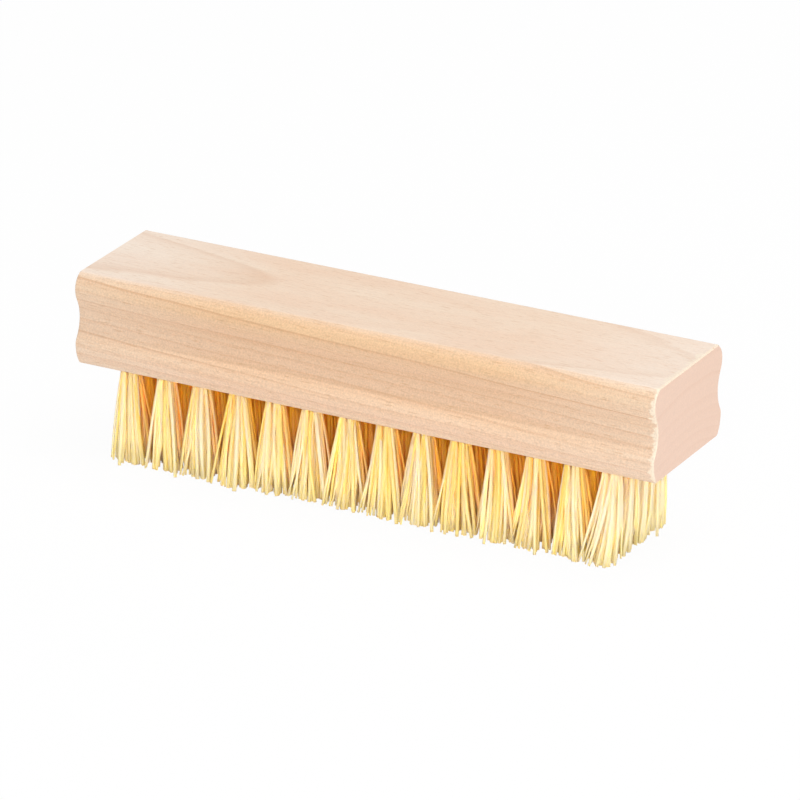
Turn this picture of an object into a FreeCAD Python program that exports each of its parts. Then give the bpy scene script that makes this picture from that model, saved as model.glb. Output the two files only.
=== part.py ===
import FreeCAD, Part
import math
import os
import Sketcher

doc = FreeCAD.newDocument("scrub_brush")
sizes = doc.addObject("Spreadsheet::Sheet", "sizes")

# Driving sizes in millimetres and counts. The brush stands on its fibre tips
# at height zero, its length runs along X and the front row is at minus Y.
DRIVING = (
    ("block_length", "120"),
    ("block_width", "28.5"),
    ("block_height", "18.3"),
    ("crown_radius", "3.5"),
    ("upper_bead_radius", "4.6"),
    ("upper_bead_drop", "3.2"),
    ("cove_depth", "1.6"),
    ("lower_bead_radius", "2.2"),
    ("lower_bead_rise", "4.2"),
    ("foot_radius", "7"),
    ("top_edge_round", "1"),
    ("bottom_edge_round", "1"),
    ("end_edge_chamfer", "0.25"),
    ("tufts_per_row", "14"),
    ("row_count", "4"),
    ("left_margin", "8.9"),
    ("right_margin", "10.7"),
    ("hole_diameter", "3.9"),
    ("hole_depth", "9"),
    ("trim_length", "19"),
    ("tuft_sides", "8"),
    ("tuft_fit_gap", "0.05"),
    ("tuft_tip_gap", "0.3"),
    ("row_splay", "0.8"),
    ("left_end_splay", "0.8"),
    ("right_end_splay", "-1.3"),
    ("fold_thickness", "1.4"),
    ("anchor_height", "1.8"),
    ("anchor_thickness", "0.45"),
    ("anchor_fit_gap", "0.03"),
    ("eye_gap", "0.05"),
)

# Places that several pieces share, each worked out from the driving sizes. As much
# wood stays between two rows of holes as between the outer rows and the side grooves.
FIELD_LENGTH = "(sizes.block_length - sizes.left_margin - sizes.right_margin)"
TUFT_PITCH = "(" + FIELD_LENGTH + " / (sizes.tufts_per_row - 1))"
FIRST_X = "(sizes.left_margin - sizes.block_length / 2)"
GROOVE_TO_GROOVE = "(sizes.block_width - 2 * sizes.cove_depth)"
ROW_PITCH = "((" + GROOVE_TO_GROOVE + " + sizes.hole_diameter) / (sizes.row_count + 1))"
FIELD_WIDTH = "((sizes.row_count - 1) * " + ROW_PITCH + ")"
FIRST_Y = "(-" + FIELD_WIDTH + " / 2)"
ANCHOR_BASE = "(sizes.hole_depth - sizes.fold_thickness - sizes.anchor_height)"
MOUTH_RADIUS = "(sizes.hole_diameter / 2 - sizes.tuft_fit_gap)"
TIP_REACH = "((" + ROW_PITCH + " - sizes.tuft_tip_gap) / 2)"
TIP_LEAN = "((" + TUFT_PITCH + " - sizes.tuft_tip_gap) / 2 - " + TIP_REACH + ")"


def fill_sheet():
    """Write each driving size as a plain number with its name as alias."""
    for line, (name, number) in enumerate(DRIVING, start=1):
        sizes.set("A%d" % line, name)
        sizes.set("B%d" % line, number)
        sizes.setAlias("B%d" % line, name)
    doc.recompute()


def value(name):
    """A driving size as a number, for the first drawing of a sketch."""
    return float(getattr(sizes, name))


def bind(item, **expressions):
    """Tie properties to the sheet, with x, y, z and turn for the item's place."""
    places = {axis: "Placement.Base." + axis for axis in "xyz"}
    places["turn"] = "Placement.Rotation.Angle"
    for name, expression in expressions.items():
        item.setExpression(places.get(name, name), expression)


def origin_part(body, role):
    """A plane or an axis of the body's own origin."""
    for feature in body.Origin.OriginFeatures:
        if feature.Role == role:
            return feature
    raise RuntimeError("no origin part " + role)


def new_sketch(body, name, role):
    """A sketch that lies on one origin plane of its body."""
    sketch = body.newObject("Sketcher::SketchObject", name)
    sketch.AttachmentSupport = (origin_part(body, role), [""])
    sketch.MapMode = "FlatFace"
    return sketch


def dimension(sketch, name, expression, *constraint):
    """A named sketch dimension that follows the sheet."""
    index = sketch.addConstraint(Sketcher.Constraint(*constraint))
    sketch.renameConstraint(index, name)
    sketch.setExpression("Constraints." + name, expression)


def relate(sketch, *relations):
    """Sketch relations that carry no number."""
    for relation in relations:
        sketch.addConstraint(Sketcher.Constraint(*relation))


def draw_lines(sketch, corners):
    """A closed outline of straight lines through the corners, joined end to end."""
    points = [FreeCAD.Vector(x, y, 0) for x, y in corners]
    first = sketch.GeometryCount
    for start, end in zip(points, points[1:] + points[:1]):
        sketch.addGeometry(Part.LineSegment(start, end), False)
    for step in range(len(points)):
        following = (step + 1) % len(points)
        relate(sketch, ("Coincident", first + step, 2, first + following, 1))
    return first


def feature(body, kind, name, **properties):
    """A part design feature with its plain properties set."""
    item = body.newObject("PartDesign::" + kind, name)
    for key, setting in properties.items():
        setattr(item, key, setting)
    return item


def edge_names(shape, wanted):
    """Names of the edges whose bounding box passes the test."""
    return ["Edge%d" % number for number, edge in enumerate(shape.Edges, start=1) if wanted(edge.BoundBox)]


def near(first, second):
    return abs(first - second) < 1e-4


def arc(centre_x, centre_y, radius, start, end):
    circle = Part.Circle(FreeCAD.Vector(centre_x, centre_y, 0), FreeCAD.Vector(0, 0, 1), radius)
    return Part.ArcOfCircle(circle, start, end)


def moulded_half_profile(body):
    """Half of the block's cross-section. Each curve of the moulded side is tangent to the next."""
    side = value("block_width") / 2
    top = value("block_height")
    crown = value("crown_radius")
    upper = value("upper_bead_radius")
    lower = value("lower_bead_radius")
    foot = value("foot_radius")
    drop = value("upper_bead_drop")
    rise = value("lower_bead_rise")
    depth = value("cove_depth")

    # The cove's radius and height follow from the beads that it touches.
    span = top - drop - rise
    upper_span = span / 2 + depth * (upper - lower) / span
    lower_span = span - upper_span
    cove = (upper_span ** 2 + depth ** 2) / (2 * depth) - upper
    upper_turn = math.atan2(upper_span, upper + cove - depth)
    lower_turn = math.atan2(lower_span, lower + cove - depth)
    cove_height = rise + lower_span
    crown_turn = math.asin(drop / crown)
    foot_turn = math.asin(rise / foot)
    top_edge = side - crown + crown * math.cos(crown_turn)
    foot_edge = side - foot + foot * math.cos(foot_turn)

    sketch = new_sketch(body, "half_profile", "YZ_Plane")
    point = FreeCAD.Vector
    underside = sketch.addGeometry(Part.LineSegment(point(0, 0, 0), point(foot_edge, 0, 0)), False)
    foot_round = sketch.addGeometry(arc(side - foot, rise, foot, -foot_turn, 0), False)
    low_bead = sketch.addGeometry(arc(side - lower, rise, lower, 0, lower_turn), False)
    hollow = arc(side - depth + cove, cove_height, cove, math.pi - upper_turn, math.pi + lower_turn)
    hollow = sketch.addGeometry(hollow, False)
    high_bead = sketch.addGeometry(arc(side - upper, top - drop, upper, -upper_turn, 0), False)
    crown_round = sketch.addGeometry(arc(side - crown, top - drop, crown, 0, crown_turn), False)
    face = sketch.addGeometry(Part.LineSegment(point(top_edge, top, 0), point(0, top, 0)), False)
    middle = sketch.addGeometry(Part.LineSegment(point(0, top, 0), point(0, 0, 0)), False)
    deepest = sketch.addGeometry(Part.Point(point(side - depth, cove_height, 0)), True)

    relate(
        sketch,
        ("Coincident", underside, 1, -1, 1),
        ("Coincident", underside, 2, foot_round, 1),
        ("Tangent", foot_round, 2, low_bead, 1),
        ("Tangent", low_bead, 2, hollow, 2),
        ("Tangent", hollow, 1, high_bead, 1),
        ("Tangent", high_bead, 2, crown_round, 1),
        ("Coincident", crown_round, 2, face, 1),
        ("Coincident", face, 2, middle, 1),
        ("Coincident", middle, 2, underside, 1),
        ("Horizontal", underside),
        ("Horizontal", face),
        ("Vertical", middle),
        ("Horizontal", foot_round, 3, foot_round, 2),
        ("Horizontal", crown_round, 3, crown_round, 1),
        ("PointOnObject", deepest, 1, hollow),
        ("Horizontal", deepest, 1, hollow, 3),
    )
    half_width = "sizes.block_width / 2"
    dimension(sketch, "low_reach", half_width, "DistanceX", -1, 1, foot_round, 2, side)
    dimension(sketch, "high_reach", half_width, "DistanceX", -1, 1, crown_round, 1, side)
    waist = half_width + " - sizes.cove_depth"
    dimension(sketch, "waist", waist, "DistanceX", -1, 1, deepest, 1, side - depth)
    dimension(sketch, "height", "sizes.block_height", "DistanceY", middle, 2, middle, 1, top)
    dimension(sketch, "rise", "sizes.lower_bead_rise", "DistanceY", -1, 1, foot_round, 2, rise)
    dimension(sketch, "drop", "sizes.upper_bead_drop", "DistanceY", crown_round, 1, crown_round, 2, drop)
    dimension(sketch, "foot", "sizes.foot_radius", "Radius", foot_round, foot)
    dimension(sketch, "low_radius", "sizes.lower_bead_radius", "Radius", low_bead, lower)
    dimension(sketch, "high_radius", "sizes.upper_bead_radius", "Radius", high_bead, upper)
    dimension(sketch, "crown", "sizes.crown_radius", "Radius", crown_round, crown)
    return sketch


def ease_edges(body, base, kind, name, wanted, **size):
    """Round or chamfer every edge of the base feature that passes the test."""
    doc.recompute()
    eased = feature(body, kind, name, Base=(base, edge_names(base.Shape, wanted)))
    bind(eased, **size)
    body.Tip = eased
    return eased


def tuft_hole(body):
    """The blind hole of the first tuft, drilled up from the underside."""
    sketch = new_sketch(body, "hole_outline", "XY_Plane")
    across = value("block_length") / 2 - value("left_margin")
    along = value("block_width") / 4
    centre = FreeCAD.Vector(-across, -along, 0)
    circle = Part.Circle(centre, FreeCAD.Vector(0, 0, 1), value("hole_diameter") / 2)
    sketch.addGeometry(circle, False)
    dimension(sketch, "across", "-" + FIRST_X, "DistanceX", 0, 3, -1, 1, across)
    dimension(sketch, "along", "-" + FIRST_Y, "DistanceY", 0, 3, -1, 1, along)
    dimension(sketch, "diameter", "sizes.hole_diameter", "Diameter", 0, value("hole_diameter"))
    hole = feature(body, "Pocket", "tuft_hole", Profile=(sketch, [""]), Reversed=True)
    bind(hole, Length="sizes.hole_depth")
    body.Tip = hole
    return hole


def tuft_grid(body, name, original):
    """Repeat a feature over the tuft field, along the row and from row to row."""
    doc.recompute()
    grid = feature(
        body, "LinearPattern", name,
        Originals=[original],
        Direction=(origin_part(body, "X_Axis"), [""]),
        Direction2=(origin_part(body, "Y_Axis"), [""]),
        Mode="Extent",
        Mode2="Extent",
    )
    bind(grid, Length=FIELD_LENGTH, Occurrences="sizes.tufts_per_row")
    bind(grid, Length2=FIELD_WIDTH, Occurrences2="sizes.row_count")
    body.Tip = grid
    doc.recompute()
    return grid


def wood_block():
    """The moulded block, with a blind hole for each tuft."""
    body = doc.addObject("PartDesign::Body", "wood_block")
    bind(body, z="sizes.trim_length")
    profile = moulded_half_profile(body)
    half = feature(body, "Pad", "half_block", Profile=(profile, [""]), SideType="Symmetric")
    bind(half, Length="sizes.block_length")
    whole = feature(body, "Mirrored", "whole_block", Originals=[half],
                    MirrorPlane=(origin_part(body, "XZ_Plane"), [""]))
    body.Tip = whole

    end = value("block_length") / 2
    top = value("block_height")
    rounded = ease_edges(body, whole, "Fillet", "top_edges",
                         lambda box: near(box.ZMin, top) and box.XLength > end,
                         Radius="sizes.top_edge_round")
    rounded = ease_edges(body, rounded, "Fillet", "bottom_edges",
                         lambda box: near(box.ZMax, 0) and box.XLength > end,
                         Radius="sizes.bottom_edge_round")
    ease_edges(body, rounded, "Chamfer", "end_edges",
               lambda box: near(box.XLength, 0) and near(abs(box.XMin), end),
               Size="sizes.end_edge_chamfer")

    doc.recompute()
    undrilled = body.Shape.Volume
    tuft_grid(body, "tuft_field", tuft_hole(body))
    drilled = undrilled - body.Shape.Volume
    one_hole = math.pi * value("hole_diameter") ** 2 / 4 * value("hole_depth")
    if not near(drilled / one_hole, value("tufts_per_row") * value("row_count")):
        raise RuntimeError("a tuft hole is missing from the block")
    return body


def tuft_anchors():
    """Flat-wire anchors, one through the fold of each tuft, wedged across its hole."""
    body = doc.addObject("PartDesign::Body", "tuft_anchors")
    body.AllowCompound = True
    bind(body, x=FIRST_X, y=FIRST_Y, z="sizes.trim_length")
    half = value("hole_diameter") / 2 - value("anchor_thickness")
    base = value("hole_depth") - value("fold_thickness") - value("anchor_height")
    top = base + value("anchor_height")

    sketch = new_sketch(body, "anchor_outline", "YZ_Plane")
    draw_lines(sketch, ((-half, base), (half, base), (half, top), (-half, top)))
    relate(sketch, ("Symmetric", 0, 1, 0, 2, -2), ("Horizontal", 2), ("Vertical", 1), ("Vertical", 3))
    reach = "(sizes.hole_diameter / 2 - sizes.anchor_fit_gap)"
    across = "2 * sqrt(" + reach + " ^ 2 - (sizes.anchor_thickness / 2) ^ 2)"
    dimension(sketch, "width", across, "DistanceX", 0, 1, 0, 2, 2 * half)
    dimension(sketch, "height", "sizes.anchor_height", "DistanceY", 1, 1, 1, 2, top - base)
    dimension(sketch, "base", ANCHOR_BASE, "DistanceY", -1, 1, 0, 1, base)
    anchor = feature(body, "Pad", "anchor", Profile=(sketch, [""]), SideType="Symmetric")
    bind(anchor, Length="sizes.anchor_thickness")
    body.Tip = anchor
    tuft_grid(body, "anchor_field", anchor)
    return body


def facets(item, radius):
    """Give a bundle outline its number of flats, one of them square to each row."""
    bind(item, Polygon="sizes.tuft_sides", Circumradius=radius, turn="180 / sizes.tuft_sides")
    return item


def tuft_plug():
    """The folded end of a tuft inside its hole, with an eye where the anchor passes."""
    bundle = facets(doc.addObject("Part::Prism", "bundle_in_hole"), MOUTH_RADIUS)
    bind(bundle, Height="sizes.hole_depth - sizes.tuft_fit_gap")
    eye = doc.addObject("Part::Box", "anchor_eye")
    bind(eye, Length="sizes.anchor_thickness + 2 * sizes.eye_gap")
    bind(eye, x="-sizes.anchor_thickness / 2 - sizes.eye_gap")
    bind(eye, Width="2 * sizes.hole_diameter", y="-sizes.hole_diameter")
    bind(eye, Height="sizes.anchor_height + 2 * sizes.eye_gap", z=ANCHOR_BASE + " - sizes.eye_gap")
    plug = doc.addObject("Part::Cut", "tuft_plug")
    plug.Base = bundle
    plug.Tool = eye
    return plug


def tuft_leg(mouth, side, end_tuft, row_side):
    """One half of the folded bundle, which fans out from the hole towards its tips."""
    name = "leg_%s%s_row%d" % ("end_" * end_tuft, "right" if side > 0 else "left", row_side + 2)
    tip = doc.addObject("Part::RegularPolygon", name + "_tip")
    facets(tip, TIP_REACH + " / cos(180 deg / sizes.tuft_sides)")
    end_splay = "sizes.right_end_splay" if side > 0 else "sizes.left_end_splay"
    bind(tip, x="%d * (%s + %d * %s)" % (side, TIP_LEAN, end_tuft, end_splay))
    bind(tip, y="%d * sizes.row_splay" % row_side, z="-sizes.trim_length")
    leg = doc.addObject("Part::Loft", name)
    leg.Sections = [mouth, tip]
    leg.Solid = True
    leg.Ruled = True
    leg.Linearize = True
    return leg


def tufts():
    """All tufts of the field. Those at its edges splay outwards, a negative splay leans inwards."""
    plug = tuft_plug()
    mouth = facets(doc.addObject("Part::RegularPolygon", "tuft_mouth"), MOUTH_RADIUS)
    rows = int(value("row_count"))
    columns = int(value("tufts_per_row"))
    legs = {}
    found = []
    for row in range(rows):
        row_side = (row == rows - 1) - (row == 0)
        for column in range(columns):
            chosen = []
            for side, end_tuft in ((-1, column == 0), (1, column == columns - 1)):
                kind = (side, end_tuft, row_side)
                if kind not in legs:
                    legs[kind] = tuft_leg(mouth, *kind)
                chosen.append(legs[kind])
            tuft = doc.addObject("Part::MultiFuse", "tuft_row%d_%02d" % (row + 1, column + 1))
            tuft.Shapes = [plug] + chosen
            tuft.Refine = True
            bind(tuft, x="%s + %d * %s" % (FIRST_X, column, TUFT_PITCH))
            bind(tuft, y="%s + %d * %s" % (FIRST_Y, row, ROW_PITCH), z="sizes.trim_length")
            found.append(tuft)
    return found


def write(nodes):
    """Check every object, then write each piece to its own file."""
    doc.recompute()
    for item in doc.Objects:
        if "Invalid" in item.State or "Error" in item.State:
            raise RuntimeError(item.Label + " did not build")
    os.makedirs("parts", exist_ok=True)
    for node in nodes:
        if node.Shape.isNull() or not node.Shape.isValid():
            raise RuntimeError(node.Label + " has no valid shape")
        node.Shape.exportStep("parts/" + node.Label + ".step")


fill_sheet()
write([wood_block(), tuft_anchors()] + tufts())
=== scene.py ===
import math
import random

import bmesh
import bpy
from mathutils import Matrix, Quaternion, Vector


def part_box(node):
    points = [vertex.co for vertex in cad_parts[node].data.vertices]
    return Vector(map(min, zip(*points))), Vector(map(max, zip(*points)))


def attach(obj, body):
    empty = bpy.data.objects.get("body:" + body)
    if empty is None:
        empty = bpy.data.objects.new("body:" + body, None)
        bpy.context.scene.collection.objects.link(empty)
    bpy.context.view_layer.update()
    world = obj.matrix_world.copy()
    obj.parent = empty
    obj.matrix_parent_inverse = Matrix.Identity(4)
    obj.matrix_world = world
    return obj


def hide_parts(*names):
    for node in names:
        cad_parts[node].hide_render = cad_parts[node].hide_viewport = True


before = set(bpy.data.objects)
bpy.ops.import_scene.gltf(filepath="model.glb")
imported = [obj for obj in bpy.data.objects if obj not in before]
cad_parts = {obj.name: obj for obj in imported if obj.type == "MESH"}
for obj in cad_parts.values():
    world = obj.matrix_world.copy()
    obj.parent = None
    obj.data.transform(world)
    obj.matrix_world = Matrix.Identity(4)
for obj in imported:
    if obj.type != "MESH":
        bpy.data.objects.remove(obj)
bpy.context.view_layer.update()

# Wood block
# A batten of pale close-grained hardwood, run through a moulder that cuts a crowned bead, a cove
# and a lower bead along both sides, then sawn to length, sanded and drilled for the tufts.
# The solid has that shape already, so it stays and only gets its wood.
MM = 0.001
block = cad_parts["wood_block"]
block_low, block_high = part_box("wood_block")


def linear(colour):
    """An sRGB hex colour as linear red, green, blue and alpha."""
    shares = [int(colour[i:i + 2], 16) / 255 for i in (0, 2, 4)]
    return [s / 12.92 if s <= 0.04045 else ((s + 0.055) / 1.055) ** 2.4 for s in shares] + [1.0]


def add(tree, kind, inputs=None, **settings):
    """Add a shader node, give it its settings, and set or link each of its inputs.

    A colour Mix has its factor at input 0, its two colours at 6 and 7, and its result at output 2.
    """
    node = tree.nodes.new("ShaderNode" + kind)
    for name, setting in settings.items():
        setattr(node, name, setting)
    for name, given in (inputs or {}).items():
        if isinstance(given, bpy.types.NodeSocket):
            tree.links.new(given, node.inputs[name])
        else:
            node.inputs[name].default_value = given
    return node


def new_material(name):
    """An empty node material and its tree."""
    material = bpy.data.materials.new(name)
    material.use_nodes = True
    material.node_tree.nodes.clear()
    return material, material.node_tree


# Sanded pale hardwood: creamy peach and slightly satin. The beads are golden and the flat top pale,
# partly the wood's own tone and partly painted light: painted warm light on the beads and a painted
# sheen on the top. The sawn ends are pinkish. Growth rings dip along the block, so they draw long lines
# on its sides and pointed tongues on its top. All its lengths are in millimetres.
wood, tree = new_material("sanded_pale_hardwood")
place = add(tree, "TexCoord")
in_mm = add(tree, "VectorMath", {0: place.outputs["Object"], "Scale": 1 / MM}, operation="SCALE")
spot = add(tree, "SeparateXYZ", {0: in_mm.outputs[0]})
facing = add(tree, "SeparateXYZ", {0: place.outputs["Normal"]})

# Growth rings. Each is a shell that bulges across the block, dips along it and wanders. Its wood darkens
# between two shares of its year, and so does its thin dark rim. Some years are fainter than others.
RING_SPACING = 2.1
RING_RADIUS = 50.0
RING_START = 0.19
GRAIN_SLOPE = 0.04
WANDER = 1.2
WANDER_LENGTH = 70.0
WANDER_WIDTH = 14.0
LATE_WOOD = (0.30, 0.94)
RIM = (0.78, 0.93)
YEAR_VARIETY = 0.8
YEAR_RANGE = (0.35, 0.65)
FAINTEST_YEAR = 0.2
wander = add(tree, "Mapping", {"Vector": in_mm.outputs[0],
                               "Scale": (1 / WANDER_LENGTH, 1 / WANDER_WIDTH, 1 / WANDER_WIDTH)})
wander = add(tree, "TexNoise", {"Vector": wander.outputs[0], "Scale": 1.0, "Detail": 2.0})
wander = add(tree, "MapRange", {"Value": wander.outputs["Fac"], "To Min": -WANDER, "To Max": WANDER})
dip = add(tree, "Math", {0: spot.outputs["X"], 1: GRAIN_SLOPE, 2: spot.outputs["Z"]},
          operation="MULTIPLY_ADD")
bulge = add(tree, "Math", {0: spot.outputs["Y"], 1: spot.outputs["Y"]}, operation="MULTIPLY")
shell = add(tree, "Math", {0: bulge.outputs[0], 1: 1 / (2 * RING_RADIUS), 2: dip.outputs[0]},
            operation="MULTIPLY_ADD")
shell = add(tree, "Math", {0: shell.outputs[0], 1: wander.outputs[0]}, operation="ADD")
ring = add(tree, "Math", {0: shell.outputs[0], 1: 1 / RING_SPACING, 2: -RING_START},
           operation="MULTIPLY_ADD")
season = add(tree, "Math", {0: ring.outputs[0]}, operation="FRACT")
year = add(tree, "TexNoise", {"W": ring.outputs[0], "Scale": YEAR_VARIETY}, noise_dimensions="1D")
year = add(tree, "MapRange", {"Value": year.outputs["Fac"], "From Min": YEAR_RANGE[0],
                              "From Max": YEAR_RANGE[1], "To Min": FAINTEST_YEAR})
bands = []
for begins, peaks in (LATE_WOOD, RIM):
    band = add(tree, "ValToRGB", {"Fac": season.outputs[0]})
    band.color_ramp.elements[0].position = begins
    band.color_ramp.elements[1].position = peaks
    band.color_ramp.elements.new(1.0).color = linear("000000")
    bands.append(add(tree, "Math", {0: band.outputs[0], 1: year.outputs[0]}, operation="MULTIPLY"))
late, rim = bands

# Streaks, pores and patches of tone, drawn out along the shells, and sanding specks. Real pores and
# specks are about 0.1 mm wide, too fine to show, so both are drawn two to three times as coarse.
# A range is the part of its noise, which lies round 0.5, over which a marking comes up.
STREAK_LENGTH = 24.0
STREAK_WIDTH = 0.40
STREAK_RANGE = (0.44, 0.66)
PORE_LENGTH = 2.4
PORE_WIDTH = 0.24
PORE_RANGE = (0.60, 0.74)
PATCH_LENGTH = 30.0
PATCH_WIDTH = 7.0
PATCH_RANGE = (0.35, 0.65)
SPECK_WIDTH = 0.32
grain = add(tree, "CombineXYZ", {"X": spot.outputs["X"], "Y": spot.outputs["Y"], "Z": shell.outputs[0]})
figures = []
for length, width, detail, roughness in ((STREAK_LENGTH, STREAK_WIDTH, 3.0, 0.6),
                                         (PORE_LENGTH, PORE_WIDTH, 1.0, 0.5),
                                         (PATCH_LENGTH, PATCH_WIDTH, 2.0, 0.5)):
    figure = add(tree, "Mapping", {"Vector": grain.outputs[0],
                                   "Scale": (1 / length, 1 / width, 1 / width)})
    figures.append(add(tree, "TexNoise", {"Vector": figure.outputs[0], "Scale": 1.0, "Detail": detail,
                                          "Roughness": roughness}))
streaks, pores, patches = figures
streaks = add(tree, "MapRange", {"Value": streaks.outputs["Fac"], "From Min": STREAK_RANGE[0],
                                 "From Max": STREAK_RANGE[1]})
pores = add(tree, "MapRange", {"Value": pores.outputs["Fac"], "From Min": PORE_RANGE[0],
                               "From Max": PORE_RANGE[1]})
specks = add(tree, "TexNoise", {"Vector": in_mm.outputs[0], "Scale": 1 / SPECK_WIDTH, "Detail": 1.0})

# The moulded side: its tones by height above the underside, and how far that height wavers. The tones
# hold painted light: a painted highlight on the lower bead's upper slope, painted shade in the cove with
# darker painted shade lines at its foot and under the upper bead, and painted warm light on the upper
# bead.
TONE_WAVER = 0.6
FOOT_TONE = "EED2B8"
LOWER_BEAD_TONES_AND_HIGHLIGHT = ((2.0, "EDCBB0"), (3.6, "F0CEB0"), (5.2, "F3D1B0"), (6.2, "F2CDAA"))
COVE_TONES_AND_SHADE = ((6.6, "E1BB98"), (7.6, "E6C2A2"), (10.4, "E5C1A0"), (11.5, "E0BA98"))
UPPER_BEAD_TONES_AND_LIGHT = ((12.4, "E7C3A3"), (14.4, "E5C09C"), (15.4, "E8C197"), (16.8, "EAC49A"))
CROWN_TONE = "ECC9A6"
waver = add(tree, "Math", {0: patches.outputs["Fac"], 1: TONE_WAVER, 2: spot.outputs["Z"]},
            operation="MULTIPLY_ADD")
rise = add(tree, "MapRange", {"Value": waver.outputs[0], "From Min": block_low.z / MM + TONE_WAVER / 2,
                              "From Max": block_high.z / MM + TONE_WAVER / 2})
tone = add(tree, "ValToRGB", {"Fac": rise.outputs[0]})
stops = tone.color_ramp.elements
stops[0].color = linear(FOOT_TONE)
stops[1].color = linear(CROWN_TONE)
for height, colour in LOWER_BEAD_TONES_AND_HIGHLIGHT + COVE_TONES_AND_SHADE + UPPER_BEAD_TONES_AND_LIGHT:
    stops.new(height * MM / (block_high.z - block_low.z)).color = linear(colour)

# The sanded top, where a face turns far enough upward, paler partly for its sanding and partly as a
# painted sheen of the light from above, and the wood that dries paler towards both ends.
TOP_FACING = (0.75, 0.97)
TOP_TONES_AND_SHEEN = ("F2DBC4", "F0D3BA")
DRIED_FROM = 28.0
DRIED_TO = 58.0
DRIED_SHARE = 0.55
DRIED_SIDE_TONE = "ECD5BE"
DRIED_TOP_TONE = "F8ECE0"
sanded_and_sheen = add(tree, "MapRange", {"Value": facing.outputs["Z"], "From Min": TOP_FACING[0],
                                "From Max": TOP_FACING[1]})
clouds = add(tree, "MapRange", {"Value": patches.outputs["Fac"], "From Min": PATCH_RANGE[0],
                                "From Max": PATCH_RANGE[1]})
top_tone_and_sheen = add(tree, "Mix", {0: clouds.outputs[0], 6: linear(TOP_TONES_AND_SHEEN[0]), 7: linear(TOP_TONES_AND_SHEEN[1])},
               data_type="RGBA")
tone = add(tree, "Mix", {0: sanded_and_sheen.outputs[0], 6: tone.outputs[0], 7: top_tone_and_sheen.outputs[2]},
           data_type="RGBA")
outward = add(tree, "Math", {0: spot.outputs["X"]}, operation="ABSOLUTE")
dried = add(tree, "MapRange", {"Value": outward.outputs[0], "From Min": DRIED_FROM, "From Max": DRIED_TO,
                               "To Max": DRIED_SHARE})
dried_tone = add(tree, "Mix", {0: sanded_and_sheen.outputs[0], 6: linear(DRIED_SIDE_TONE),
                               7: linear(DRIED_TOP_TONE)}, data_type="RGBA")
tone = add(tree, "Mix", {0: dried.outputs[0], 6: tone.outputs[2], 7: dried_tone.outputs[2]},
           data_type="RGBA")

# The markings, one over the other. A shade is how strongly one shows on the sides and on the top. Late
# wood fades over the crown. Rims are faint low down and come up between two shares of the block's height.
LATE_TONE = "D8A680"
LATE_SHADE = (0.24, 0.14)
CROWN_FACING = (0.60, 0.95)
RIM_TONE = "C8956A"
RIM_SHADE = (0.50, 0.15)
FAINT_RIM = 0.3
FAINT_RIM_HEIGHT = (0.20, 0.34)
STREAK_TONE = "DFB48E"
STREAK_SHADE = (0.32, 0.13)
PORE_TONE = "CB9A6C"
PORE_SHADE = 0.40
late_shade = add(tree, "MapRange", {"Value": facing.outputs["Z"], "From Min": CROWN_FACING[0],
                                    "From Max": CROWN_FACING[1], "To Min": LATE_SHADE[0],
                                    "To Max": LATE_SHADE[1]})
rim_shade = add(tree, "MapRange", {"Value": sanded_and_sheen.outputs[0], "To Min": RIM_SHADE[0],
                                   "To Max": RIM_SHADE[1]})
faint = add(tree, "MapRange", {"Value": rise.outputs[0], "From Min": FAINT_RIM_HEIGHT[0],
                               "From Max": FAINT_RIM_HEIGHT[1], "To Min": FAINT_RIM})
rim_shade = add(tree, "Math", {0: rim_shade.outputs[0], 1: faint.outputs[0]}, operation="MULTIPLY")
streak_shade = add(tree, "MapRange", {"Value": sanded_and_sheen.outputs[0], "To Min": STREAK_SHADE[0],
                                      "To Max": STREAK_SHADE[1]})
for marking, strength, colour in ((late, late_shade.outputs[0], LATE_TONE),
                                  (rim, rim_shade.outputs[0], RIM_TONE),
                                  (streaks, streak_shade.outputs[0], STREAK_TONE),
                                  (pores, PORE_SHADE, PORE_TONE)):
    shade = add(tree, "Math", {0: marking.outputs[0], 1: strength}, operation="MULTIPLY")
    tone = add(tree, "Mix", {0: shade.outputs[0], 6: tone.outputs[2], 7: linear(colour)},
               data_type="RGBA")

# The sawn ends, where a face turns far enough endward, and a whitish painted highlight along the edge of
# the near one, where the edge catches the light, drawn ragged: teeth of a length and a thickness, which
# reach a varying width in from the end.
END_FACING = (0.80, 0.95)
END_TONES = ("EECDB8", "EBC8B2")
FRAY_LENGTH = 3.0
FRAY_TOOTH = 0.9
FRAY_RANGE = (0.30, 0.70)
FRAY_WIDTH = (0.1, 1.7)
FRAY_FADE = 0.4
EDGE_HIGHLIGHT_SHARE = 0.8
EDGE_HIGHLIGHT_TONE = "F6E6D0"
near_end = block_high.x / MM
endwise = add(tree, "Math", {0: facing.outputs["X"]}, operation="ABSOLUTE")
sawn = add(tree, "MapRange", {"Value": endwise.outputs[0], "From Min": END_FACING[0],
                              "From Max": END_FACING[1]})
end_tone = add(tree, "Mix", {0: late.outputs[0], 6: linear(END_TONES[0]), 7: linear(END_TONES[1])},
               data_type="RGBA")
tone = add(tree, "Mix", {0: sawn.outputs[0], 6: tone.outputs[2], 7: end_tone.outputs[2]},
           data_type="RGBA")
ragged_edge = add(tree, "Mapping", {"Vector": in_mm.outputs[0],
                             "Scale": (1 / FRAY_LENGTH, 1 / FRAY_TOOTH, 1 / FRAY_TOOTH)})
ragged_edge = add(tree, "TexNoise", {"Vector": ragged_edge.outputs[0], "Scale": 1.0, "Detail": 2.0})
ragged_edge = add(tree, "MapRange", {"Value": ragged_edge.outputs["Fac"], "From Min": FRAY_RANGE[0],
                              "From Max": FRAY_RANGE[1], "To Min": FRAY_WIDTH[0],
                              "To Max": FRAY_WIDTH[1]})
edge_highlight = add(tree, "Math", {0: ragged_edge.outputs[0], 1: spot.outputs["X"]}, operation="ADD")
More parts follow.
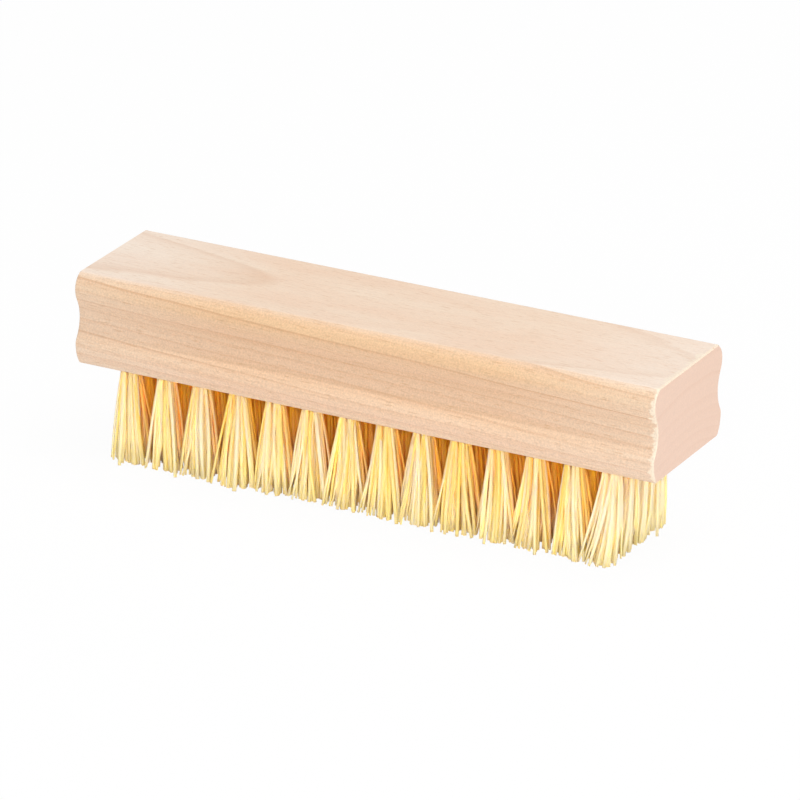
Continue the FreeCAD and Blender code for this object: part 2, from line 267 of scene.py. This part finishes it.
edge_highlight = add(tree, "MapRange", {"Value": edge_highlight.outputs[0], "From Min": near_end,
                              "From Max": near_end + FRAY_FADE, "To Max": EDGE_HIGHLIGHT_SHARE})
unsawn = add(tree, "Math", {0: 1.0, 1: sawn.outputs[0]}, operation="SUBTRACT")
edge_highlight = add(tree, "Math", {0: edge_highlight.outputs[0], 1: unsawn.outputs[0]}, operation="MULTIPLY")
tone = add(tree, "Mix", {0: edge_highlight.outputs[0], 6: tone.outputs[2], 7: linear(EDGE_HIGHLIGHT_TONE)}, data_type="RGBA")

# The finish: specks that lighten and darken the wood, more on the sides than on the sanded top and the
# ends, grain that can just be felt, and a satin that the specks break up.
SPECK_SHADE = (0.42, 0.15)
GRAIN_RELIEF = 0.05
RELIEF_STRENGTH = 0.2
SATIN = (0.46, 0.62)
WOOD_IOR = 1.5
even = add(tree, "Math", {0: sanded_and_sheen.outputs[0], 1: sawn.outputs[0]}, operation="MAXIMUM")
speck_shade = add(tree, "MapRange", {"Value": even.outputs[0], "To Min": SPECK_SHADE[0],
                                     "To Max": SPECK_SHADE[1]})
speckle = add(tree, "Math", {0: specks.outputs["Fac"], 1: 0.5}, operation="SUBTRACT")
speckle = add(tree, "Math", {0: speckle.outputs[0], 1: speck_shade.outputs[0], 2: 1.0},
              operation="MULTIPLY_ADD")
tone = add(tree, "VectorMath", {0: tone.outputs[2], "Scale": speckle.outputs[0]}, operation="SCALE")
relief = add(tree, "Bump", {"Strength": RELIEF_STRENGTH, "Distance": GRAIN_RELIEF * MM,
                            "Height": streaks.outputs[0]})
satin = add(tree, "MapRange", {"Value": specks.outputs["Fac"], "To Min": SATIN[0], "To Max": SATIN[1]})
shader = add(tree, "BsdfPrincipled", {"Base Color": tone.outputs[0], "Roughness": satin.outputs[0],
                                      "IOR": WOOD_IOR, "Normal": relief.outputs[0]})
add(tree, "OutputMaterial", {"Surface": shader.outputs[0]})
block.data.materials.clear()
block.data.materials.append(wood)

# Tuft anchors
# Short lengths of flat drawn steel wire, one through the fold of each tuft. A filling machine
# cuts them and drives them edgewise into the holes, where they wedge across the wood.
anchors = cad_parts["tuft_anchors"]
anchor_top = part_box("tuft_anchors")[1].z / MM

# Bright drawn steel: grey, fairly glossy, with draw lines along each wire. Real ones are too fine to
# show, so these are drawn coarser, in millimetres.
DRAW_LINE_WIDTH = 0.06
DRAW_LINE_LENGTH = 3.0
STEEL_TONES = ("B9B7B2", "D2D0CB")
STEEL_ROUGHNESS = (0.28, 0.42)
steel, tree = new_material("drawn_steel_wire")
place = add(tree, "TexCoord")
lines = add(tree, "Mapping", {"Vector": place.outputs["Object"],
                              "Scale": (1 / (DRAW_LINE_WIDTH * MM), 1 / (DRAW_LINE_LENGTH * MM),
                                        1 / (DRAW_LINE_WIDTH * MM))})
lines = add(tree, "TexNoise", {"Vector": lines.outputs[0], "Scale": 1.0, "Detail": 2.0})
tone = add(tree, "Mix", {0: lines.outputs["Fac"], 6: linear(STEEL_TONES[0]), 7: linear(STEEL_TONES[1])},
           data_type="RGBA")
gloss = add(tree, "MapRange", {"Value": lines.outputs["Fac"], "To Min": STEEL_ROUGHNESS[0],
                               "To Max": STEEL_ROUGHNESS[1]})
shader = add(tree, "BsdfPrincipled", {"Base Color": tone.outputs[2], "Metallic": 1.0,
                                      "Roughness": gloss.outputs[0]})
add(tree, "OutputMaterial", {"Surface": shader.outputs[0]})
anchors.data.materials.clear()
anchors.data.materials.append(steel)

# Fibre tufts
# Stiff natural plant fibres, folded in half over the anchor and driven into the hole, so that
# each fibre shows two ends. They leave the hole as a tight bundle, fan out, and are trimmed level.
ROWS = 4
TUFTS_IN_ROW = 14
FIBRES_IN_TUFT = 38
FIBRE_SEED = 11
mouth = block_low.z / MM
chance = random.Random(FIBRE_SEED)

# Bleached plant fibre: pale straw yellow and waxy, with lengthwise veins and darker very tips. Towards
# the tips it is painted paler, a painted highlight of the light that reaches them. Fibres deep in the
# brush and near the block are painted a deeper gold, as painted shade. Light spreads inside the thin
# strands, blue least and most near the tips, so they seem to glow. Real veins are too fine to show, so
# these are drawn coarser.
# Widths, lengths and the spread are in millimetres, and places along a fibre are shares of its fall.
PALE_TONE = "FDF3DA"
STRAW_TONE = "FDE488"
VEIN_TONE = "FDD86E"
VEIN_WIDTH = 0.22
VEIN_LENGTH = 5.0
VEIN_RANGE = (0.45, 0.75)
VEIN_SHARE = (0.2, 0.9)
# Painted shade near the block: the fibres are painted a deeper gold towards the mouth of the hole.
ROOT_SHADE_TONE = "FDCA58"
ROOT_REACH = 0.45
ROOT_SHARE = 0.35
# Painted shade between the tufts: fibres deep in the brush are painted a deeper gold.
INNER_SHADE_TONE = "FDBE26"
INNER_SHADE_SHARE = 0.92
# Painted highlight: each fibre is painted paler from midway to its tip, for the light that reaches the
# tips.
TIP_HIGHLIGHT_TONE = "FEF3C2"
TIP_HIGHLIGHT_FROM = 0.5
TIP_HIGHLIGHT_SHARE = 0.6
# The very tips are darker.
TIP_END_TONE = "DDB264"
TIP_END_FROM = 0.975
TIP_END_SHARE = 0.25
FIBRE_ROUGHNESS = 0.55
FIBRE_IOR = 1.45
FIBRE_GLOSS = 0.15
SPREAD_REACH = 0.7
SPREAD_COLOURS = (1.0, 1.0, 0.25)
SPREAD_FROM = 0.3
SPREAD_TO = 0.9
SPREAD_SHARE = (0.75, 1.0)
straw, tree = new_material("bleached_plant_fibre")
along = add(tree, "Attribute", attribute_name="along")
tint = add(tree, "Attribute", attribute_name="tint")
deep_shade = add(tree, "Attribute", attribute_name="deep_shade")
place = add(tree, "TexCoord")
veins = add(tree, "Mapping", {"Vector": place.outputs["Object"],
                              "Scale": (1 / (VEIN_WIDTH * MM), 1 / (VEIN_WIDTH * MM),
                                        1 / (VEIN_LENGTH * MM))})
veins = add(tree, "TexNoise", {"Vector": veins.outputs[0], "Scale": 1.0, "Detail": 2.0})
veins = add(tree, "MapRange", {"Value": veins.outputs["Fac"], "From Min": VEIN_RANGE[0],
                               "From Max": VEIN_RANGE[1]})
richness = add(tree, "MapRange", {"Value": tint.outputs["Fac"], "To Min": VEIN_SHARE[0],
                                  "To Max": VEIN_SHARE[1]})
veins = add(tree, "Math", {0: veins.outputs[0], 1: richness.outputs[0]}, operation="MULTIPLY")
root = add(tree, "MapRange", {"Value": along.outputs["Fac"], "From Min": ROOT_REACH, "From Max": 0.0,
                              "To Max": ROOT_SHARE})
inner_shade = add(tree, "Math", {0: deep_shade.outputs["Fac"], 1: INNER_SHADE_SHARE}, operation="MULTIPLY")
tip_highlight = add(tree, "MapRange", {"Value": along.outputs["Fac"], "From Min": TIP_HIGHLIGHT_FROM, "From Max": 1.0,
                               "To Max": TIP_HIGHLIGHT_SHARE})
tip_end = add(tree, "MapRange", {"Value": along.outputs["Fac"], "From Min": TIP_END_FROM, "From Max": 1.0,
                             "To Max": TIP_END_SHARE})
tone = add(tree, "Mix", {0: tint.outputs["Fac"], 6: linear(PALE_TONE), 7: linear(STRAW_TONE)},
           data_type="RGBA")
for share, colour in ((veins, VEIN_TONE), (root, ROOT_SHADE_TONE), (inner_shade, INNER_SHADE_TONE),
                      (tip_highlight, TIP_HIGHLIGHT_TONE), (tip_end, TIP_END_TONE)):
    tone = add(tree, "Mix", {0: share.outputs[0], 6: tone.outputs[2], 7: linear(colour)},
               data_type="RGBA")
glow = add(tree, "MapRange", {"Value": along.outputs["Fac"], "From Min": SPREAD_FROM,
                              "From Max": SPREAD_TO, "To Min": SPREAD_SHARE[0],
                              "To Max": SPREAD_SHARE[1]})
shader = add(tree, "BsdfPrincipled", {"Base Color": tone.outputs[2], "Roughness": FIBRE_ROUGHNESS,
                                      "IOR": FIBRE_IOR, "Specular IOR Level": FIBRE_GLOSS,
                                      "Subsurface Weight": glow.outputs[0],
                                      "Subsurface Radius": SPREAD_COLOURS,
                                      "Subsurface Scale": SPREAD_REACH * MM},
             subsurface_method="BURLEY")
add(tree, "OutputMaterial", {"Surface": shader.outputs[0]})

# One straight fibre, with a ring of corners for each point of a path: the two points of its fold, and on
# each leg the shares of the fall from the mouth of the hole to the tip. Each copy is bent along its own.
FALL = (0.0, 0.22, 0.46, 0.72, 1.0)
RINGS = 2 * len(FALL) + 2
FIBRE_SIDES = 4
single = bmesh.new()
single.loops.layers.uv.new("OFBake")
bmesh.ops.create_cone(single, cap_ends=True, segments=FIBRE_SIDES, radius1=1.0, radius2=1.0,
                      depth=RINGS - 1, calc_uvs=True)
lengthwise = [e for e in single.edges if abs(e.verts[0].co.z - e.verts[1].co.z) > 1]
bmesh.ops.subdivide_edges(single, edges=lengthwise, cuts=RINGS - 2)
for face in single.faces:
    face.smooth = abs(face.normal.z) < 0.5
fibre_mesh = bpy.data.meshes.new("fibre")
single.to_mesh(fibre_mesh)
single.free()

# The holes, found from what of each solid tuft lies above their mouths, in millimetres.
MOUTH_MARGIN = 0.1


def hole_of(node):
    """The middle of the hole that a tuft's solid fills, in millimetres."""
    plug = [v.co / MM for v in node.data.vertices if v.co.z / MM > mouth + MOUTH_MARGIN]
    return Vector((sum(p.x for p in plug), sum(p.y for p in plug))) / len(plug)


tuft_nodes = [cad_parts["tuft_row%d_%02d" % (row, column)]
              for row in range(1, ROWS + 1) for column in range(1, TUFTS_IN_ROW + 1)]
first_hole = hole_of(tuft_nodes[0])
last_hole = hole_of(tuft_nodes[-1])

# The bundle and its fan, in millimetres: the bundle's radius in the hole, the room for the anchor, and
# how far its two legs lean and reach. A few strays reach further. Fibres draw together in clumps, fill a
# rounded square, and crowd inward at both ends of the block. Tips and bows vary along and across it.
BUNDLE_RADIUS = 1.52
NARROWEST_CHORD = 0.05
ANCHOR_CLEAR = 0.63
LEG_LEAN = 1.5
LEG_REACH = 2.65
REACH_ACROSS = 1.2
STRAY_SHARE = 0.10
STRAY_REACH = (1.3, 1.6)
CLUMP_PULL = 0.32
SQUARENESS = 0.7
LEAST_SIDE = 0.01
END_CROWDING = 0.28
TIP_SCATTER = (0.32, 0.30)
BOW_SCATTER = (0.28, 0.25)
FIBRE_TRIM_SCATTER = 0.17
FAN_POWER = 1.05
GOLDEN_ANGLE = math.pi * (3 - math.sqrt(5))


def disc(number, total, turn):
    """One of a number of places that share a unit circle evenly."""
    reach = math.sqrt((number + 0.5) / total)
    angle = number * GOLDEN_ANGLE + turn
    return Vector((reach * math.cos(angle), reach * math.sin(angle)))


def scatter(spread):
    """A random step, with one spread along the block and one across it."""
    return Vector((chance.gauss(0, spread[0]), chance.gauss(0, spread[1])))


def leg(hole, side, spot, clumps, lean, trim):
    """The run of one half of a fibre from the mouth of its hole to its tip, with each point's share."""
    u, v = spot
    nearest = min(clumps, key=lambda clump: (clump - spot).length)
    half_chord = math.sqrt(max(1 - v * v, NARROWEST_CHORD)) * BUNDLE_RADIUS
    inside = (u * BUNDLE_RADIUS / half_chord + 1) / 2
    from_anchor = inside * max(half_chord - ANCHOR_CLEAR, 0.0)
    start = hole + Vector((side * (ANCHOR_CLEAR + from_anchor), v * BUNDLE_RADIUS))
    reach = LEG_REACH
    if chance.random() < STRAY_SHARE:
        reach *= chance.uniform(*STRAY_REACH)
    spot = spot.lerp(nearest, CLUMP_PULL)
    spot = spot * (spot.length / max(abs(spot.x), abs(spot.y), LEAST_SIDE)) ** SQUARENESS
    end = hole + Vector((side * (LEG_LEAN + spot.x * reach), spot.y * reach * REACH_ACROSS))
    end += scatter(TIP_SCATTER)
    end.x += END_CROWDING * (max(first_hole.x - end.x, 0.0) - max(end.x - last_hole.x, 0.0))
    bow = scatter(BOW_SCATTER)
    stop = trim + abs(chance.gauss(0, FIBRE_TRIM_SCATTER))
    points = []
    for share in FALL:
        at = start.lerp(end, share ** FAN_POWER) + lean * share ** 2 + bow * math.sin(math.pi * share)
        points.append((Vector((at.x, at.y, mouth - share * (mouth - stop))), share))
    return points


# The section of a fibre: its thickness and breadth as shares of its width, and its slightly thinner tip.
THICKNESS = 0.75
BREADTH = 1.2
TIP_TAPER = 0.15
TAPER_POWER = 6


def bend(fibre, path, width, hole):
    """Bend a straight fibre so that its rings follow a path, with its flatter side outward."""
    for vert in fibre:
        ring = round(vert.co.z + (RINGS - 1) / 2)
        at, share = path[ring]
        ahead = (path[min(ring + 1, RINGS - 1)][0] - path[max(ring - 1, 0)][0]).normalized()
        outward = at - Vector((hole.x, hole.y, at.z))
        across = (outward - ahead * outward.dot(ahead)).normalized()
        corner = across * vert.co.x * THICKNESS + ahead.cross(across) * vert.co.y * BREADTH
        taper = 1 - TIP_TAPER * max(share, 0.0) ** TAPER_POWER
        vert.co = at + corner * width / 2 * taper
        yield vert, share


# Painted shade between the tufts: fibres deeper in the brush are painted a deeper gold, not at all to one
# depth and fully past another, in millimetres. The tips get less of it.
UNSHADED_DEPTH = 0.7
FULL_SHADE_DEPTH = 3.0
TIP_OPENNESS = 0.42


def among_tufts_shade(at, share):
    """How much painted shade a point of a fibre gets among other tufts, from 0 on the outside to 1."""
    share = max(share, 0.0)
    outline = BUNDLE_RADIUS + share * (LEG_REACH - BUNDLE_RADIUS)
    depth = outline + min(at.x - first_hole.x, last_hole.x - at.x,
                          at.y - first_hole.y, last_hole.y - at.y)
    depth = (depth - UNSHADED_DEPTH) / (FULL_SHADE_DEPTH - UNSHADED_DEPTH)
    return min(max(depth, 0.0), 1.0) * (1 - TIP_OPENNESS * share ** 2)


# A whole tuft, in millimetres. It splays along the block as its solid leans, and less so across it. The
# first column splays inward instead, because its loose fibres fan out wider than the solid. The last
# column, at the near end, is painted palest, a painted highlight where more light falls on it. Trims are
# how far tips stop above the floor.
FIBRE_WIDTH = (0.52, 0.82)
FOLD_RISE = 0.35
FOLD_STEP = 0.3
FOLD_LAYERS = 3
FOLD_SHARE = -0.5
SAME_COLUMN = 1.0
SPLAY_ACROSS = 0.3
SPLAY_SCATTER = (0.35, 0.25)
FIRST_SPLAY = -0.85
LIT_END_GOLD = 0.12
TINT_POWER = 1.6
CLUMPS = 11
CLUMP_TURN = 2.0
CLUMP_SCATTER = (0.15, 0.15)
RIGHT_LEG_TURN = 1.0
TUFT_TRIM = 0.04
TUFT_TRIM_SCATTER = 0.15


def tuft(name, node):
    """A bundle of folded fibres in the place of one solid tuft."""
    hole = hole_of(node)
    low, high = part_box(node.name)
    splay = Vector((low.x + high.x, low.y + high.y)) / MM - 2 * hole
    splay.y *= SPLAY_ACROSS
    if hole.x < first_hole.x + SAME_COLUMN:
        splay.x *= FIRST_SPLAY
    splay += scatter(SPLAY_SCATTER)
    # The last column is painted paler and less gold, a painted highlight where more light falls on it.
    gold_outside_lit_end = LIT_END_GOLD if hole.x > last_hole.x - SAME_COLUMN else 1.0
    turn = chance.uniform(0, 2 * math.pi)
    clumps = [disc(number, CLUMPS, turn + CLUMP_TURN) + scatter(CLUMP_SCATTER)
              for number in range(CLUMPS)]
    trim = TUFT_TRIM + abs(chance.gauss(0, TUFT_TRIM_SCATTER))
    bundle = bmesh.new()
    strip = bundle.loops.layers.uv.new("OFBake")
    layers = [bundle.verts.layers.float.new(layer) for layer in ("along", "tint", "deep_shade")]
    for number in range(FIBRES_IN_TUFT):
        left = leg(hole, -1, disc(number, FIBRES_IN_TUFT, turn), clumps, splay, trim)
        right = leg(hole, 1, disc(number, FIBRES_IN_TUFT, turn + RIGHT_LEG_TURN), clumps, splay, trim)
        fold = anchor_top + FOLD_RISE + FOLD_STEP * (number % FOLD_LAYERS)
        over = [(Vector((points[0][0].x, points[0][0].y, fold)), FOLD_SHARE) for points in (left, right)]
        path = left[::-1] + over + right
        bundle.from_mesh(fibre_mesh)
        bundle.verts.ensure_lookup_table()
        bundle.faces.ensure_lookup_table()
        fibre_tint = chance.random() ** TINT_POWER * gold_outside_lit_end
        width = chance.uniform(*FIBRE_WIDTH)
        for vert, share in bend(bundle.verts[-len(fibre_mesh.vertices):], path, width, hole):
            for layer, amount in zip(layers, (share, fibre_tint, among_tufts_shade(vert.co, share) * gold_outside_lit_end)):
                vert[layer] = amount
        for face in bundle.faces[-len(fibre_mesh.polygons):]:
            for loop in face.loops:
                u, v = loop[strip].uv
                loop[strip].uv = ((number + u) / FIBRES_IN_TUFT, v)
    bmesh.ops.scale(bundle, vec=(MM, MM, MM), verts=bundle.verts)
    mesh = bpy.data.meshes.new(name)
    bundle.to_mesh(mesh)
    bundle.free()
    mesh.materials.append(straw)
    piece = bpy.data.objects.new(name, mesh)
    bpy.context.scene.collection.objects.link(piece)
    return piece


for node in tuft_nodes:
    fibres = tuft(node.name.replace("tuft", "fibres"), node)
    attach(fibres, "root")
    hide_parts(node.name)

# Studio
# A wide white floor that the brush stands on, seen as plain white with a faint shadow, an even
# white surround, and three soft lamps: one beside the camera, one overhead and one off the near end.
# Sizes and places are in metres and the lamps' power in watts.
bpy.context.scene.view_settings.view_transform = "Standard"

# Pale fibres pass light on to each other many times, so that many bounces are followed.
LIGHT_BOUNCES = 24
bpy.context.scene.cycles.diffuse_bounces = LIGHT_BOUNCES
bpy.context.scene.cycles.max_bounces = LIGHT_BOUNCES


def shown(tree):
    """A node that gives 1 where a ray is seen, straight or by way of gloss or glass, and else 0."""
    ray = add(tree, "LightPath")
    seen = add(tree, "Math", {0: ray.outputs["Is Camera Ray"], 1: ray.outputs["Is Glossy Ray"]},
               operation="MAXIMUM")
    return add(tree, "Math", {0: seen.outputs[0], 1: ray.outputs["Is Transmission Ray"]},
               operation="MAXIMUM")


# White studio floor: matt, so it takes the shadow, and mostly plain white to the eye.
FLOOR_WIDTH = 6.0
FLOOR_TONE = "FAFAFA"
PLAIN_SHARE = 0.95
white, tree = new_material("white_floor")
plain_share = add(tree, "Math", {0: shown(tree).outputs[0], 1: PLAIN_SHARE}, operation="MULTIPLY")
matt = add(tree, "BsdfDiffuse", {"Color": linear(FLOOR_TONE)})
plain = add(tree, "Emission", {"Color": linear("FFFFFF"), "Strength": 1.0})
mixed = add(tree, "MixShader", {0: plain_share.outputs[0], 1: matt.outputs[0], 2: plain.outputs[0]})
add(tree, "OutputMaterial", {"Surface": mixed.outputs[0]})
ground = bmesh.new()
bmesh.ops.create_grid(ground, x_segments=1, y_segments=1, size=FLOOR_WIDTH / 2)
floor_mesh = bpy.data.meshes.new("floor")
ground.to_mesh(floor_mesh)
ground.free()
floor_mesh.materials.append(white)
floor = bpy.data.objects.new("floor", floor_mesh)
bpy.context.scene.collection.objects.link(floor)

# The surround: white to the eye, and half as bright as a light.
SURROUND_LIGHT = 0.5
surround = bpy.data.worlds.new("white_surround")
surround.use_nodes = True
bpy.context.scene.world = surround
tree = surround.node_tree
tree.nodes.clear()
level = add(tree, "MapRange", {"Value": shown(tree).outputs[0], "To Min": SURROUND_LIGHT, "To Max": 1.0})
sky = add(tree, "Background", {"Color": linear("FFFFFF"), "Strength": level.outputs[0]})
add(tree, "OutputWorld", {"Surface": sky.outputs[0]})

# Each lamp's name, place, width and power.
LAMPS = (("front_lamp", Vector((0.45, -0.87, 0.42)), 0.4, 3.9),
         ("top_lamp", Vector((0.3, 0.0, 1.1)), 0.9, 5.2),
         ("end_lamp", Vector((1.0, 0.1, 0.35)), 0.7, 0.9))
LAMP_TARGET = Vector((0, 0, 0.02))
for name, place, width, power in LAMPS:
    lamp = bpy.data.lights.new(name, "AREA")
    lamp.shape = "DISK"
    lamp.size = width
    lamp.energy = power
    lamp_object = bpy.data.objects.new(name, lamp)
    lamp_object.location = place
    lamp_object.rotation_euler = (LAMP_TARGET - place).to_track_quat("-Z", "Y").to_euler()
    bpy.context.scene.collection.objects.link(lamp_object)

# Camera
# A long lens about 1.3 m away, above the near right corner, held a little out of level.
# Lengths are in metres, and the sensor and the lens in millimetres.
AZIMUTH = math.radians(27.58)
ELEVATION = math.radians(21.88)
TILT = math.radians(0.6)
DISTANCE = 1.2973
MIDDLE = Vector((0, 0, 0.028))
AIM_RIGHT = 0.00094
AIM_DOWN = 0.00849
SENSOR_WIDTH = 36.0
FOCAL_LENGTH = 316.34
back = Vector((math.sin(AZIMUTH) * math.cos(ELEVATION), -math.cos(AZIMUTH) * math.cos(ELEVATION),
               math.sin(ELEVATION)))
right = Vector((math.cos(AZIMUTH), math.sin(AZIMUTH), 0))
right.rotate(Quaternion(back, TILT))
up = back.cross(right)
aim = MIDDLE + right * AIM_RIGHT - up * AIM_DOWN
lens = bpy.data.cameras.new("camera")
lens.sensor_width = SENSOR_WIDTH
lens.lens = FOCAL_LENGTH
camera = bpy.data.objects.new("camera", lens)
camera.location = MIDDLE + back * DISTANCE
untilted = (aim - camera.location).to_track_quat("-Z", "Y")
camera.rotation_euler = (untilted @ Quaternion((0, 0, 1), TILT)).to_euler()
bpy.context.scene.collection.objects.link(camera)
bpy.context.scene.camera = camera
